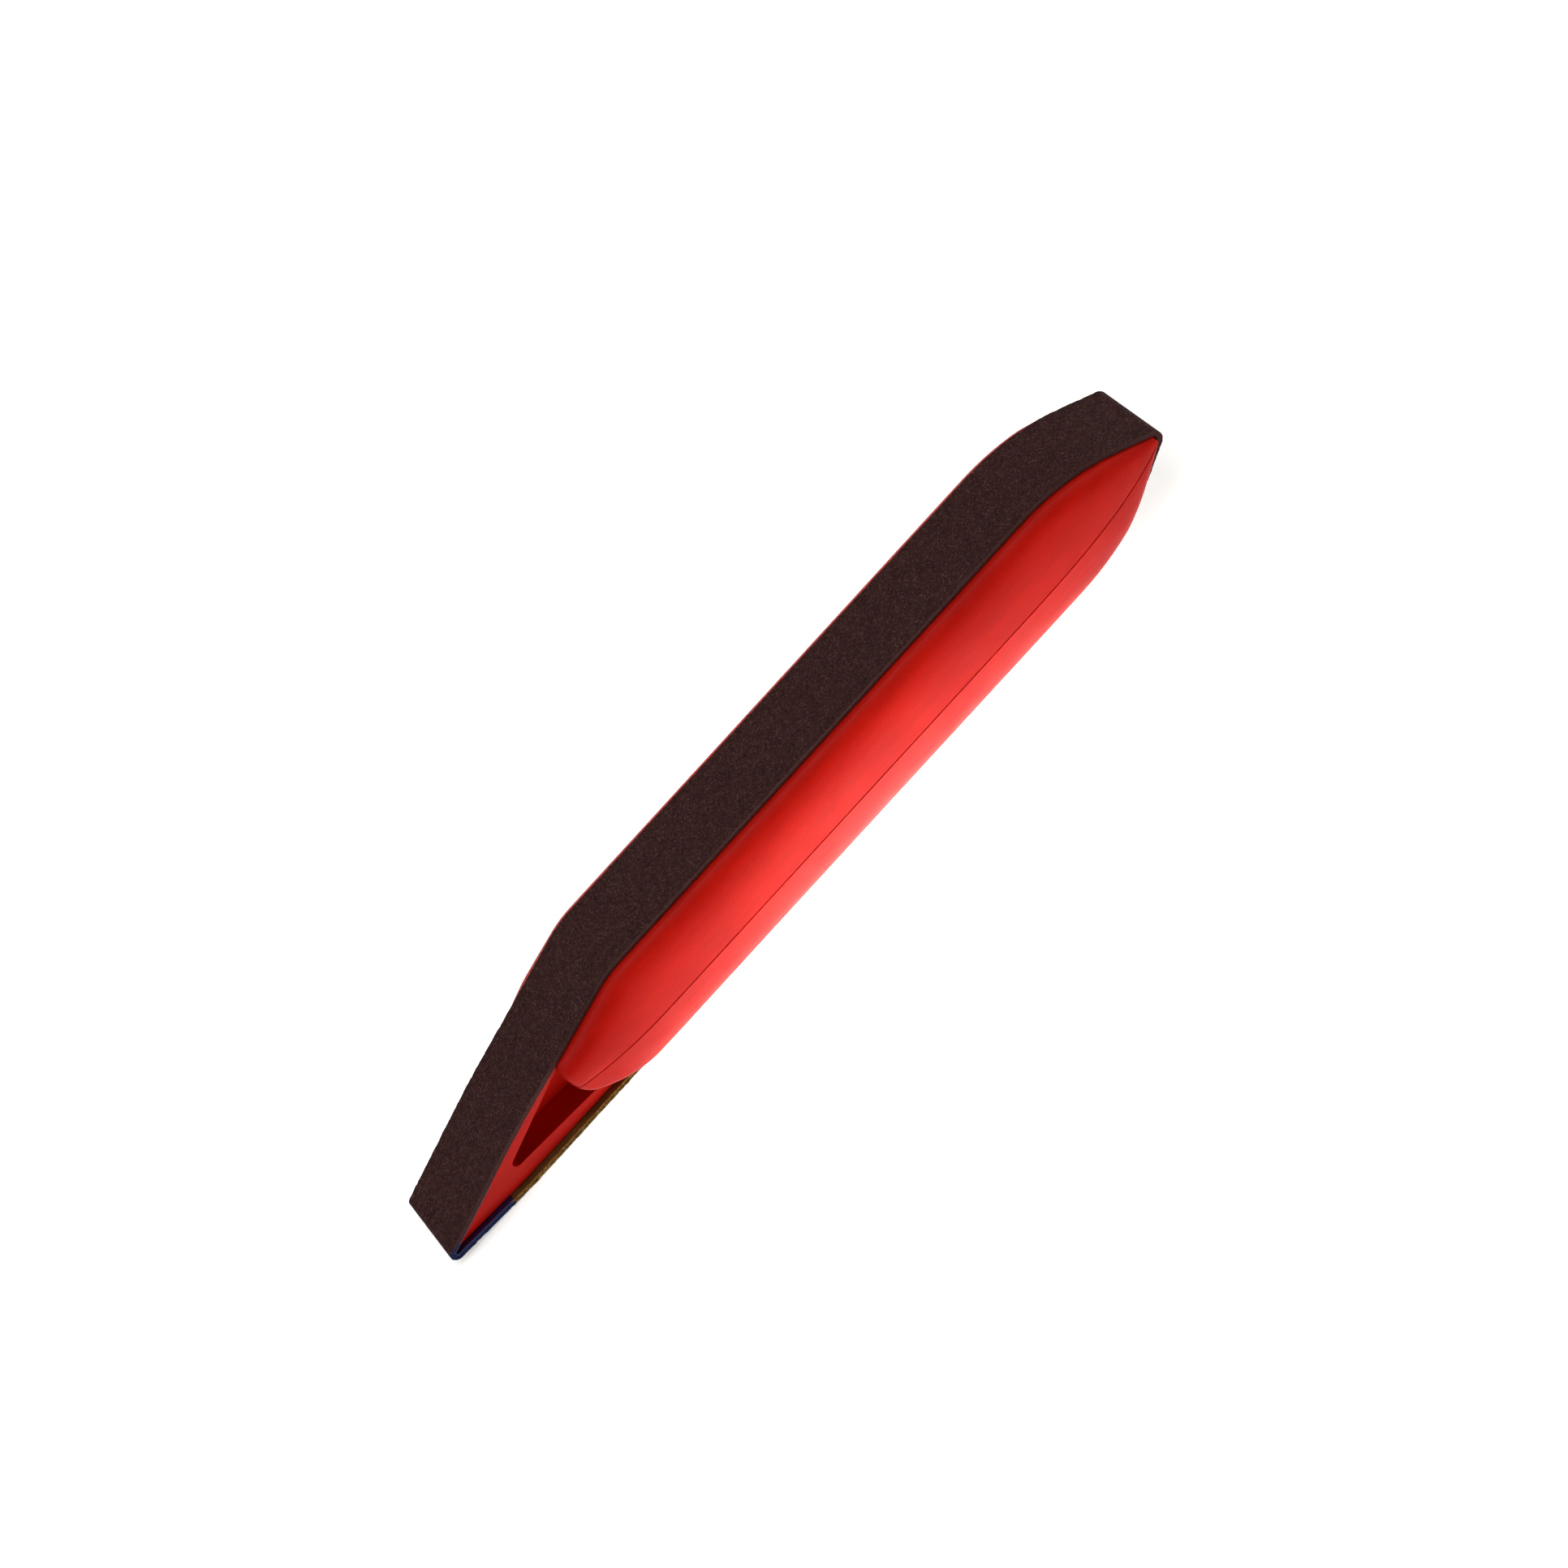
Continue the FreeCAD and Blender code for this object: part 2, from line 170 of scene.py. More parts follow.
class Nodes:
    """Short way to build a material's node tree."""

    def __init__(self, name):
        self.material = bpy.data.materials.new(name)
        self.material.use_nodes = True
        self.tree = self.material.node_tree
        self.tree.nodes.clear()
        self.output = self.tree.nodes.new("ShaderNodeOutputMaterial")
        self.shader = self.add("ShaderNodeBsdfPrincipled")
        self.tree.links.new(self.shader.outputs[0], self.output.inputs["Surface"])
        self.coordinates = self.tree.nodes.new("ShaderNodeTexCoord").outputs["Object"]

    def add(self, kind, inputs=None, **settings):
        node = self.tree.nodes.new(kind)
        for name, value in settings.items():
            setattr(node, name, value)
        for name, value in (inputs or {}).items():
            if hasattr(value, "is_linked"):
                self.tree.links.new(value, node.inputs[name])
            else:
                node.inputs[name].default_value = value
        return node

    def stretched(self, scale):
        """Object coordinates in millimetres, squeezed or stretched along each axis."""
        factors = [1000 * value for value in scale]
        node = self.add("ShaderNodeVectorMath", {0: self.coordinates, 1: factors}, operation="MULTIPLY")
        return node.outputs[0]

    def noise(self, scale, detail=3.0, roughness=0.5, stretch=(1, 1, 1)):
        inputs = {
            "Vector": self.stretched(stretch), "Scale": scale, "Detail": detail, "Roughness": roughness
        }
        return self.add("ShaderNodeTexNoise", inputs).outputs["Fac"]

    def cells(self, scale, feature="F1", output="Distance", stretch=(1, 1, 1)):
        inputs = {"Vector": self.stretched(stretch), "Scale": scale}
        return self.add("ShaderNodeTexVoronoi", inputs, feature=feature).outputs[output]

    def ramp(self, factor, stops, smooth=False):
        node = self.add("ShaderNodeValToRGB", {"Fac": factor})
        node.color_ramp.interpolation = "EASE" if smooth else "LINEAR"
        elements = node.color_ramp.elements
        while len(elements) < len(stops):
            elements.new(0.5)
        for element, (position, colour) in zip(elements, stops):
            element.position = position
            element.color = (*colour, 1) if hasattr(colour, "__len__") else (colour, colour, colour, 1)
        return node.outputs["Color"]

    def mix(self, factor, first, second, blend="MIX"):
        """Mix of two colours, which are inputs 6 and 7 of the node. Its output 2 is the colour."""
        node = self.add("ShaderNodeMix", data_type="RGBA", blend_type=blend)
        for index, value in ((0, factor), (6, first), (7, second)):
            if hasattr(value, "is_linked"):
                self.tree.links.new(value, node.inputs[index])
            else:
                node.inputs[index].default_value = (*value, 1) if index else value
        return node.outputs[2]

    def math(self, operation, first, second=0.0):
        return self.add("ShaderNodeMath", {0: first, 1: second}, operation=operation).outputs[0]

    def bump(self, height, strength, distance, below=None):
        inputs = {"Height": height, "Strength": strength, "Distance": distance}
        if below is not None:
            inputs["Normal"] = below
        return self.add("ShaderNodeBump", inputs).outputs["Normal"]

    def finish(self, **inputs):
        for name, value in inputs.items():
            socket = self.shader.inputs[name.replace("_", " ")]
            if hasattr(value, "is_linked"):
                self.tree.links.new(value, socket)
            elif hasattr(value, "__len__"):
                socket.default_value = (*value, 1)
            else:
                socket.default_value = value
        return self.material


def red_plastic(name, base, deep):
    """Moulded semi-gloss plastic: slight flow marks, a fine mould texture and faint scuffs."""
    nodes = Nodes(name)
    flow = nodes.noise(0.09, 2, 0.5, (0.5, 1, 1))
    colour = nodes.mix(nodes.ramp(flow, [(0.35, 0.0), (0.7, 1.0)]), base, deep)
    specks = nodes.ramp(nodes.cells(0.8), [(0.03, 1.0), (0.05, 0.0)])
    colour = nodes.mix(nodes.math("MULTIPLY", specks, 0.10), colour, (0.85, 0.20, 0.15))
    streaks = nodes.ramp(nodes.noise(0.8, 3, 0.6, (0.15, 1, 1)), [(0.3, 0.90), (0.7, 1.06)])
    colour = nodes.mix(1.0, colour, streaks, "MULTIPLY")
    grain = nodes.ramp(nodes.noise(5.0, 3, 0.7), [(0.3, 0.86), (0.7, 1.10)])
    colour = nodes.mix(1.0, colour, grain, "MULTIPLY")
    scuffs = nodes.ramp(nodes.noise(1.6, 4, 0.6, (0.12, 1, 1)), [(0.52, 0.0), (0.72, 1.0)])
    smear = nodes.noise(0.25, 3, 0.55)
    rough = nodes.math("ADD", nodes.math("MULTIPLY", smear, 0.18), nodes.math("MULTIPLY", scuffs, 0.12))
    rough = nodes.math("ADD", rough, 0.36)
    texture = nodes.bump(nodes.noise(9.0, 3, 0.6), 0.25, 0.02 * MM)
    waves = nodes.bump(nodes.noise(0.22, 1, 0.4), 0.4, 0.12 * MM, texture)
    return nodes.finish(
        Base_Color=colour, Roughness=rough, Normal=waves, Specular_IOR_Level=0.11, IOR=1.5,
        Subsurface_Weight=0.04, Subsurface_Scale=0.6 * MM,
    )


def abrasive_grit():
    """Dark brown resin with fine grain in it: most grains dark, a few pale, rusty or olive."""
    nodes = Nodes("abrasive_grit")
    tone = nodes.add("ShaderNodeTexVoronoi", {"Vector": nodes.stretched((1, 1, 1)), "Scale": 5.6})
    pick = nodes.add("ShaderNodeSeparateColor", {"Color": tone.outputs["Color"]})
    grain = nodes.ramp(pick.outputs["Red"], [
        (0.0, (0.028, 0.0100, 0.0098)), (0.55, (0.045, 0.0175, 0.017)),
        (0.86, (0.060, 0.026, 0.024)), (0.97, (0.088, 0.048, 0.040)),
    ])
    rust = nodes.ramp(pick.outputs["Green"], [(0.93, 0.0), (0.96, 1.0)])
    olive = nodes.ramp(pick.outputs["Blue"], [(0.93, 0.0), (0.96, 1.0)])
    colour = nodes.mix(nodes.math("MULTIPLY", rust, 0.4), grain, (0.055, 0.016, 0.013))
    colour = nodes.mix(nodes.math("MULTIPLY", olive, 0.4), colour, (0.045, 0.036, 0.018))
    patches = nodes.ramp(nodes.noise(0.55, 4, 0.65), [(0.3, 0.82), (0.7, 1.16)])
    colour = nodes.mix(1.0, colour, patches, "MULTIPLY")
    fine = nodes.ramp(nodes.noise(9.0, 2, 0.6), [(0.3, 0.75), (0.75, 1.3)])
    colour = nodes.mix(1.0, colour, fine, "MULTIPLY")
    bump = nodes.bump(nodes.cells(5.2), 0.55, 0.06 * MM)
    bump = nodes.bump(nodes.noise(14.0, 2, 0.6), 0.4, 0.03 * MM, bump)
    rough = nodes.ramp(pick.outputs["Blue"], [(0.0, 0.66), (0.9, 0.75), (0.98, 0.40)])
    return nodes.finish(Base_Color=colour, Roughness=rough, Normal=bump, Specular_IOR_Level=0.03)


def belt_cloth():
    """Cotton cloth filled with golden-brown resin: a twill weave that shows through the resin."""
    nodes = Nodes("belt_cloth")
    warp = nodes.add(
        "ShaderNodeTexWave",
        {"Vector": nodes.stretched((1, 0.35, 0)), "Scale": 1.35, "Distortion": 0.8, "Detail": 2.0},
        bands_direction="X",
    ).outputs["Fac"]
    weft = nodes.add(
        "ShaderNodeTexWave",
        {"Vector": nodes.stretched((0.35, 1, 0)), "Scale": 1.5, "Distortion": 0.8, "Detail": 2.0},
        bands_direction="Y",
    ).outputs["Fac"]
    weave = nodes.math("MULTIPLY", warp, weft)
    stain = nodes.noise(0.5, 4, 0.6)
    colour = nodes.ramp(stain, [
        (0.25, (0.080, 0.027, 0.002)), (0.5, (0.12, 0.050, 0.004)), (0.75, (0.18, 0.092, 0.011)),
    ])
    colour = nodes.mix(nodes.math("MULTIPLY", weave, 0.45), colour, (0.22, 0.12, 0.020))
    bump = nodes.bump(weave, 0.6, 0.05 * MM)
    bump = nodes.bump(nodes.noise(11.0, 3, 0.6), 0.4, 0.02 * MM, bump)
    return nodes.finish(Base_Color=colour, Roughness=0.62, Normal=bump, Specular_IOR_Level=0.4)


# How far the blue stain runs past the film, and how high the bare threads reach, in millimetres.
STAIN_SPREAD = 1.0
LOWER_EDGE_TOP = 3.2


def cut_edge():
    """Cut edge of the belt: dark resin on the upper run, bare golden threads on the lower one.

    Beside the tip the lower run's edge is stained by the blue splice film.
    """
    nodes = Nodes("cut_edge")
    threads = nodes.noise(3.2, 4, 0.65)
    dark = nodes.ramp(threads, [
        (0.3, (0.036, 0.0135, 0.012)), (0.6, (0.064, 0.027, 0.025)), (0.8, (0.110, 0.058, 0.045)),
    ])
    golden = nodes.ramp(nodes.noise(2.6, 4, 0.7, (1, 1, 2)), [
        (0.3, (0.075, 0.028, 0.003)), (0.5, (0.15, 0.070, 0.008)), (0.6, (0.25, 0.155, 0.04)),
        (0.72, (0.50, 0.42, 0.28)),
    ])
    blue = nodes.ramp(threads, [(0.35, (0.004, 0.008, 0.040)), (0.75, (0.028, 0.042, 0.130))])
    place = nodes.add("ShaderNodeSeparateXYZ", {"Vector": nodes.stretched((1, 1, 1))})
    wander = nodes.math("MULTIPLY", nodes.noise(0.7, 3, 0.6), 2.5)
    along = nodes.math("ADD", place.outputs["X"], wander)
    at_tape = nodes.math("LESS_THAN", along, (TIP_X + TAPE_REACH) / MM + STAIN_SPREAD)
    at_lower_run = nodes.math("LESS_THAN", place.outputs["Z"], LOWER_EDGE_TOP)
    colour = nodes.mix(at_tape, golden, blue)
    colour = nodes.mix(at_lower_run, dark, colour)
    bump = nodes.bump(nodes.cells(6.0), 0.5, 0.05 * MM)
    return nodes.finish(Base_Color=colour, Roughness=0.85, Normal=bump, Specular_IOR_Level=0.08)


def splice_film():
    """Thin blue film with fine threads running in it."""
    nodes = Nodes("splice_film")
    threads = nodes.noise(3.5, 3, 0.6, (0.08, 1.6, 1.6))
    colour = nodes.ramp(threads, [(0.35, (0.0012, 0.005, 0.040)), (0.65, (0.004, 0.014, 0.10))])
    smudge = nodes.noise(0.9, 3, 0.6)
    rough = nodes.ramp(smudge, [(0.3, 0.22), (0.7, 0.42)])
    bump = nodes.bump(threads, 0.4, 0.02 * MM)
    return nodes.finish(
        Base_Color=colour, Roughness=rough, Normal=bump, Coat_Weight=0.3, Coat_Roughness=0.15
    )


def spring_steel():
    """Drawn wire with fine lengthwise marks and a trace of oil."""
    nodes = Nodes("spring_steel")
    marks = nodes.noise(6.0, 3, 0.6, (0.6, 1, 1))
    colour = nodes.ramp(marks, [(0.3, (0.36, 0.36, 0.35)), (0.7, (0.62, 0.62, 0.60))])
    rough = nodes.ramp(marks, [(0.3, 0.38), (0.7, 0.24)])
    return nodes.finish(
        Base_Color=colour, Roughness=rough, Metallic=1.0, Normal=nodes.bump(marks, 0.3, 0.01 * MM)
    )


PLAIN_RED = (0.52, 0.0062, 0.0010)
DEEP_RED = (0.42, 0.0034, 0.0006)
HANDLE_RED = red_plastic("handle_plastic", PLAIN_RED, DEEP_RED)
TIP_RED = red_plastic("tip_plastic", PLAIN_RED, DEEP_RED)
GRIT = abrasive_grit()
CLOTH = belt_cloth()
CUT_EDGE = cut_edge()
FILM = splice_film()
STEEL = spring_steel()


# ---------------------------------------------------------------- mesh building


def make_piece(name, vertices, faces, material, smooth=True):
    """Mesh object in the scene, with its faces turned outwards and one material."""
    mesh = bpy.data.meshes.new(name)
    mesh.from_pydata([tuple(map(float, vertex)) for vertex in vertices], [], faces)
    mesh.validate()
    work = bmesh.new()
    work.from_mesh(mesh)
    bmesh.ops.recalc_face_normals(work, faces=work.faces)
    work.to_mesh(mesh)
    work.free()
    mesh.materials.append(material)
    mesh.polygons.foreach_set("use_smooth", [smooth] * len(mesh.polygons))
    piece = bpy.data.objects.new(name, mesh)
    bpy.context.scene.collection.objects.link(piece)
    return piece


def grid_faces(rows, columns, wrap_rows=False, wrap_columns=False):
    """Four-sided faces over a grid of points, closed round in one or both directions if asked."""
    faces = []
    for row in range(rows if wrap_rows else rows - 1):
        after = (row + 1) % rows
        for column in range(columns if wrap_columns else columns - 1):
            beside = (column + 1) % columns
            faces.append((
                row * columns + column, after * columns + column,
                after * columns + beside, row * columns + beside,
            ))
    return faces


def sharpen(piece, degrees):
    """Marks the edges that are sharper than this, so that the smooth shading stops at them."""
    work = bmesh.new()
    work.from_mesh(piece.data)
    for edge in work.edges:
        if len(edge.link_faces) == 2 and edge.calc_face_angle() > math.radians(degrees):
            edge.smooth = False
    work.to_mesh(piece.data)
    work.free()


def ragged(travel, side, seed, size):
    """How far a cut cloth edge falls short of its line at a place along the loop."""
    place = travel / MM
    coarse = noise.noise(Vector((place * 0.55, side * 7.0, seed)))
    medium = noise.noise(Vector((place * 1.7, side * 3.0, seed + 11.0)))
    fine = noise.noise(Vector((place * 4.1, side * 5.0, seed + 23.0)))
    return size * (0.5 + 0.55 * coarse + 0.45 * medium + 0.35 * fine)


BELT_SHARP_DEGREES = 50
CUT_FACING = 0.6
GRAIN_SIZE = 0.5 * MM


def belt_ply(name, outer_depth, inner_depth, material, columns, seed, rag, grain, tuck=0.0):
    """One closed ply of the belt between two depths below the loop's line, with ragged edges."""
    count = len(LOOP)
    vertices = []
    section = 2 * columns
    for index in range(count):
        travel = LOOP_LENGTH * index / count
        left = -BELT_HALF + tuck + max(0.0, ragged(travel, -1, seed, rag))
        right = BELT_HALF - tuck - max(0.0, ragged(travel, 1, seed, rag))
        for depth, backwards in ((outer_depth, False), (inner_depth, True)):
            for column in range(columns):
                share = column / (columns - 1)
                if backwards:
                    share = 1 - share
                across = left + (right - left) * share
                lift = 0.0
                if not backwards and grain:
                    lift = grain * (1 + noise.noise(Vector((travel, across, seed)) / GRAIN_SIZE))
                point = LOOP[index] - LOOP_NORMAL[index] * (depth + lift)
                vertices.append((point[0], across, point[1]))
    piece = make_piece(name, vertices, grid_faces(count, section, True, True), material)
    piece.data.materials.append(CUT_EDGE)
    for face in piece.data.polygons:
        if abs(face.normal.y) > CUT_FACING:
            face.material_index = 1
    return piece


GRIT_COLUMNS = 34
CLOTH_COLUMNS = 16
grit_coat = belt_ply(
    "grit_coat", 0.0, GRIT_THICK, GRIT, GRIT_COLUMNS, seed=3.0, rag=0.16 * MM, grain=0.018 * MM
)
backing = belt_ply(
    "cloth_backing", GRIT_THICK, GRIT_THICK + BACKING_THICK, CLOTH, CLOTH_COLUMNS,
    seed=5.0, rag=0.10 * MM, grain=0.0, tuck=0.08 * MM,
)
sharpen(grit_coat, BELT_SHARP_DEGREES)
sharpen(backing, BELT_SHARP_DEGREES)


TAPE_COLUMNS = 20
TAPE_TUCK = 0.12 * MM
TAPE_SLIP = 0.25 * MM


def splice_tape():
    """Film over the splice, inside the loop: it starts on the lower run and turns round the tip."""
    depth = GRIT_THICK + BACKING_THICK
    limit = TIP_X + TAPE_REACH
    chosen = [index for index in range(len(LOOP)) if LOOP[index][0] < limit]
    start = next(index for index in chosen if index - 1 not in chosen)
    run = list(range(start, start + len(chosen)))
    columns = TAPE_COLUMNS
    vertices = []
    for thick in (0.0, TAPE_THICK):
        for row, index in enumerate(run):
            for column in range(columns):
                share = column / (columns - 1)
                across = (2 * share - 1) * (BELT_HALF - TAPE_TUCK)
                slip = TAPE_SLIP * noise.noise(Vector((share * 6.0, float(row > 0), 2.0)))
                along = slip if row in (0, len(run) - 1) else 0.0
                normal = LOOP_NORMAL[index]
                point = LOOP[index] - normal * (depth + thick) + np.array([normal[1], -normal[0]]) * along
                vertices.append((point[0], across, point[1]))
    rows = len(run)
    faces = grid_faces(rows, columns)
    offset = rows * columns
    faces += [tuple(offset + index for index in reversed(face)) for face in grid_faces(rows, columns)]
    rim = [(0, column) for column in range(columns)]
    rim += [(row, columns - 1) for row in range(1, rows)]
    rim += [(rows - 1, column) for column in range(columns - 2, -1, -1)]
    rim += [(row, 0) for row in range(rows - 2, 0, -1)]
    for here, there in zip(rim, rim[1:] + rim[:1]):
        first = here[0] * columns + here[1]
        second = there[0] * columns + there[1]
        faces.append((first, second, second + offset, first + offset))
    return make_piece("splice_film_strip", vertices, faces, FILM)


tape = splice_tape()
sharpen(tape, BELT_SHARP_DEGREES)

# ---------------------------------------------------------------- handle shells

SIDE_START_IN = 1.35 * MM
SIDE_START_RISE = 0.3 * MM
SIDE_PULL_OUT = 3.6 * MM
SIDE_PULL_RISE = 0.6 * MM
SIDE_PULL_SHARE = 1.1
NOSE_SIDE = 0.2 * MM
GROOVE_DEPTH = 0.16 * MM
GROOVE_HEIGHT = 0.11 * MM
GROOVE_SHARE = 0.2
BED_ROUND = 0.45 * MM
BED_ROUND_SHARE = 0.3
BED_ENTRY_SHARE = 0.9
BOW_ROUND = 1.15 * MM
FIRST_STATION_IN = 0.02 * MM
SHELL_SHARP_DEGREES = 35
SEARCH_STEPS = 30
SIDE_POINTS = 30
BED_POINTS = 4
ROUND_POINTS = 5
STATIONS = 260


def half_width(x):
    """Half width at the seam."""
    if x < BOW_TAPER_END:
        share = (BOW_TAPER_END - x) / (BOW_TAPER_END - HANDLE_START)
        return HANDLE_HALF - (HANDLE_HALF - BOW_HALF_WIDTH) * share ** 2
    if x > NOSE_TAPER_START:
        share = (x - NOSE_TAPER_START) / (TOTAL_LENGTH / 2 - NOSE_TAPER_START)
        return HANDLE_HALF - (HANDLE_HALF - NOSE_HALF_WIDTH) * share ** 3.5
    return HANDLE_HALF


def bow_roller(side):
    """Radius, slope and middle height of the bow's upper (1) or lower (-1) roller."""
    if side > 0:
        return BOW_HIGH_RADIUS, BOW_HIGH_SLOPE, BOW_HIGH_Z
    return BOW_LOW_RADIUS, BOW_LOW_SLOPE, SEAM_Z


def bow_limit(x, side):
    """Height of the bow's outline at x, above or below its upright front."""
    radius, slope, middle = bow_roller(side)
    back = x - HANDLE_START - radius
    touch = -radius * math.sin(slope)
    if back < touch:
        return middle + side * math.sqrt(max(0.0, radius ** 2 - back ** 2))
    return middle + side * (radius * math.cos(slope) + (back - touch) * math.tan(slope))


def bow_distance(x, z):
    """How far a point lies inside the bow's outline."""
    if SEAM_Z <= z <= BOW_HIGH_Z:
        return x - HANDLE_START
    side = 1 if z > BOW_HIGH_Z else -1
    radius, slope, middle = bow_roller(side)
    back, off = x - HANDLE_START - radius, (z - middle) * side
    if back * math.cos(slope) + off * math.sin(slope) < 0:
        return radius - math.hypot(back, off)
    return radius + back * math.sin(slope) - off * math.cos(slope)


def shell_section(x, side):
    """Half a section as (y, z) points, from the seam up (or down) the side and along the bed."""
    bed = bed_height(x, side)
    outer = half_width(x)
    edge = min(BED_HALF, outer - NOSE_SIDE)
    share = abs(bed - SEAM_Z) / (SEAM_Z - BED_DEPTH)
    start = (edge - SIDE_START_IN, bed + side * SIDE_START_RISE * share)
    reach = min(SIDE_PULL_OUT, SIDE_PULL_SHARE * (outer - edge))
    pull = (edge + reach, bed + side * SIDE_PULL_RISE * share)
    limit = bow_limit(x, side)
    top = min(bed, limit) if side > 0 else max(bed, limit)

    def curve(t):
        keep = (1 - t) ** 2, 2 * t * (1 - t), t ** 2
        return [keep[0] * a + keep[1] * b + keep[2] * c for a, b, c in zip((outer, SEAM_Z), pull, start)]

    def share_at(z):
        low, high = 0.0, 1.0
        for _ in range(SEARCH_STEPS):
            middle = (low + high) / 2
            if (curve(middle)[1] - z) * side < 0:
                low = middle
            else:
                high = middle
        return low

    first, last = share_at(SEAM_Z), share_at(top)
    points = []
    for index in range(SIDE_POINTS):
        even = index / (SIDE_POINTS - 1)
        y, z = curve(first + (last - first) * even)
        inside = bow_distance(x, z)
        if inside < BOW_ROUND:
            y -= BOW_ROUND - math.sqrt(max(0.0, BOW_ROUND ** 2 - (BOW_ROUND - max(0.0, inside)) ** 2))
        points.append([y, z])
    seam_y, seam_z = points[0]
    points.insert(0, [seam_y - GROOVE_DEPTH, seam_z])
    points[1] = [seam_y, seam_z + side * min(GROOVE_HEIGHT, abs(top - SEAM_Z) * GROOVE_SHARE)]
    corner = points.pop()
    rounding = min(BED_ROUND, abs(top - SEAM_Z) * BED_ROUND_SHARE)
    back = Vector(points[-1]) - Vector(corner)
    entry = Vector(corner) + back.normalized() * min(rounding, back.length * BED_ENTRY_SHARE)
    leave = Vector((corner[0] - rounding, corner[1]))
    for index in range(ROUND_POINTS):
        t = index / (ROUND_POINTS - 1)
        blend = entry * (1 - t) ** 2 + Vector(corner) * (2 * t * (1 - t)) + leave * t ** 2
        points.append([blend.x, blend.y])
    inner_edge = points[-1][0]
    for index in range(1, BED_POINTS + 1):
        points.append([inner_edge * (1 - index / BED_POINTS), top])
    return points


def shell_blank(name, side):
    """Closed outer form of one shell, before its inside is cut out."""
    start = HANDLE_START + FIRST_STATION_IN
    vertices = []
    for station in range(STATIONS):
        x = start + (HANDLE_END - start) * (1 - math.cos(math.pi * station / (STATIONS - 1))) / 2
        half = shell_section(x, side)
        ring = [(x, y, z) for y, z in half] + [(x, -y, z) for y, z in half[-2::-1]]
        vertices += ring
    columns = len(vertices) // STATIONS
    faces = grid_faces(STATIONS, columns, False, True)
    faces.append(tuple(range(columns)))
    faces.append(tuple(range((STATIONS - 1) * columns, STATIONS * columns))[::-1])
    return make_piece(name, vertices, faces, HANDLE_RED)


def box_cutter(start, end, half_y, low, high):
    """Plain box for a boolean cut, between two X, two heights, and centred across the stick."""
    corners = [(x, y, z) for x in (start, end) for y in (-half_y, half_y) for z in (low, high)]
    faces = [(0, 1, 3, 2), (4, 6, 7, 5), (0, 4, 5, 1), (2, 3, 7, 6), (0, 2, 6, 4), (1, 5, 7, 3)]
    return make_piece("cutter", corners, faces, HANDLE_RED, False)


def peg_cutter(x, y, radius, low, high):
    """Upright cylinder between two heights."""
    steps = 32
    angles = [2 * math.pi * step / steps for step in range(steps)]
    ring = [(x + radius * math.cos(angle), y + radius * math.sin(angle)) for angle in angles]
    vertices = [(px, py, z) for z in (low, high) for px, py in ring]
    faces = [tuple(range(steps))[::-1], tuple(range(steps, 2 * steps))]
    faces += [(step, (step + 1) % steps, steps + (step + 1) % steps, steps + step) for step in range(steps)]
    return make_piece("peg_cutter", vertices, faces, HANDLE_RED, False)


def combine(piece, tools, operation):
    """Applies boolean cuts or joins to a piece, and removes the tools."""
    for tool in tools:
        step = piece.modifiers.new("boolean", "BOOLEAN")
        step.operation = operation
        step.solver = "MANIFOLD"
        step.object = tool
    bpy.context.view_layer.update()
    depsgraph = bpy.context.evaluated_depsgraph_get()
    result = bpy.data.meshes.new_from_object(piece.evaluated_get(depsgraph))
    piece.modifiers.clear()
    piece.data = result
    for tool in tools:
        bpy.data.objects.remove(tool)


CHANNEL_PLAY = 0.15 * MM
TRAVEL = 6.5 * MM
MOUTH_START = TIP_X + 26 * MM
CHANNEL_START = TIP_X + 44 * MM
SHANK_END = TIP_X + 72 * MM
SHANK_HALF = 4 * MM
SHANK_HALF_HEIGHT = 5 * MM
LUG_START = TIP_X + 60 * MM
LUG_END = TIP_X + 63 * MM
LUG_HALF = 5.2 * MM
LUG_HALF_HEIGHT = 2 * MM
HOLLOW_START = TIP_X + 83 * MM
HOLLOW_END = TIP_X + 126 * MM
HOLLOW_HALF = 6.6 * MM
HOLLOW_HALF_HEIGHT = 6.5 * MM
NOSE_HOLLOW_START = TIP_X + 130.5 * MM
NOSE_HOLLOW_END = TIP_X + 140 * MM
NOSE_HOLLOW_HALF = 4.5 * MM
NOSE_HOLLOW_HALF_HEIGHT = 3.2 * MM


def seam_cutter(start, end, half_y, half_z):
    """Box cutter that reaches as far above the seam as below it."""
    return box_cutter(start, end, half_y, SEAM_Z - half_z, SEAM_Z + half_z)


def inside_cutters():
    """The spaces that both shells leave open, as in the CAD model: mouth, channel, slots, hollows."""
    play = CHANNEL_PLAY
    return [
        box_cutter(MOUTH_START, BED_START, SLIDER_HALF + play, -MM, TOTAL_HEIGHT + MM),
        seam_cutter(CHANNEL_START, SHANK_END + TRAVEL, SHANK_HALF + play, SHANK_HALF_HEIGHT + play),
        seam_cutter(LUG_START - play, LUG_END + TRAVEL + play, LUG_HALF + play, LUG_HALF_HEIGHT + play),
        seam_cutter(HOLLOW_START, HOLLOW_END, HOLLOW_HALF, HOLLOW_HALF_HEIGHT),
        seam_cutter(NOSE_HOLLOW_START, NOSE_HOLLOW_END, NOSE_HOLLOW_HALF, NOSE_HOLLOW_HALF_HEIGHT),
    ]


# Distances from the tip, in millimetres.
PEG_PLACES = (50.0, 80.75, 128.3)
PEG_SIDE = 7.2 * MM
PEG_RADIUS = 1.1 * MM
PEG_HEIGHT = 3.0 * MM
PEG_ROOT = 1.5 * MM
PEG_PLAY = 0.1 * MM
SOCKET_SPARE = 0.2 * MM


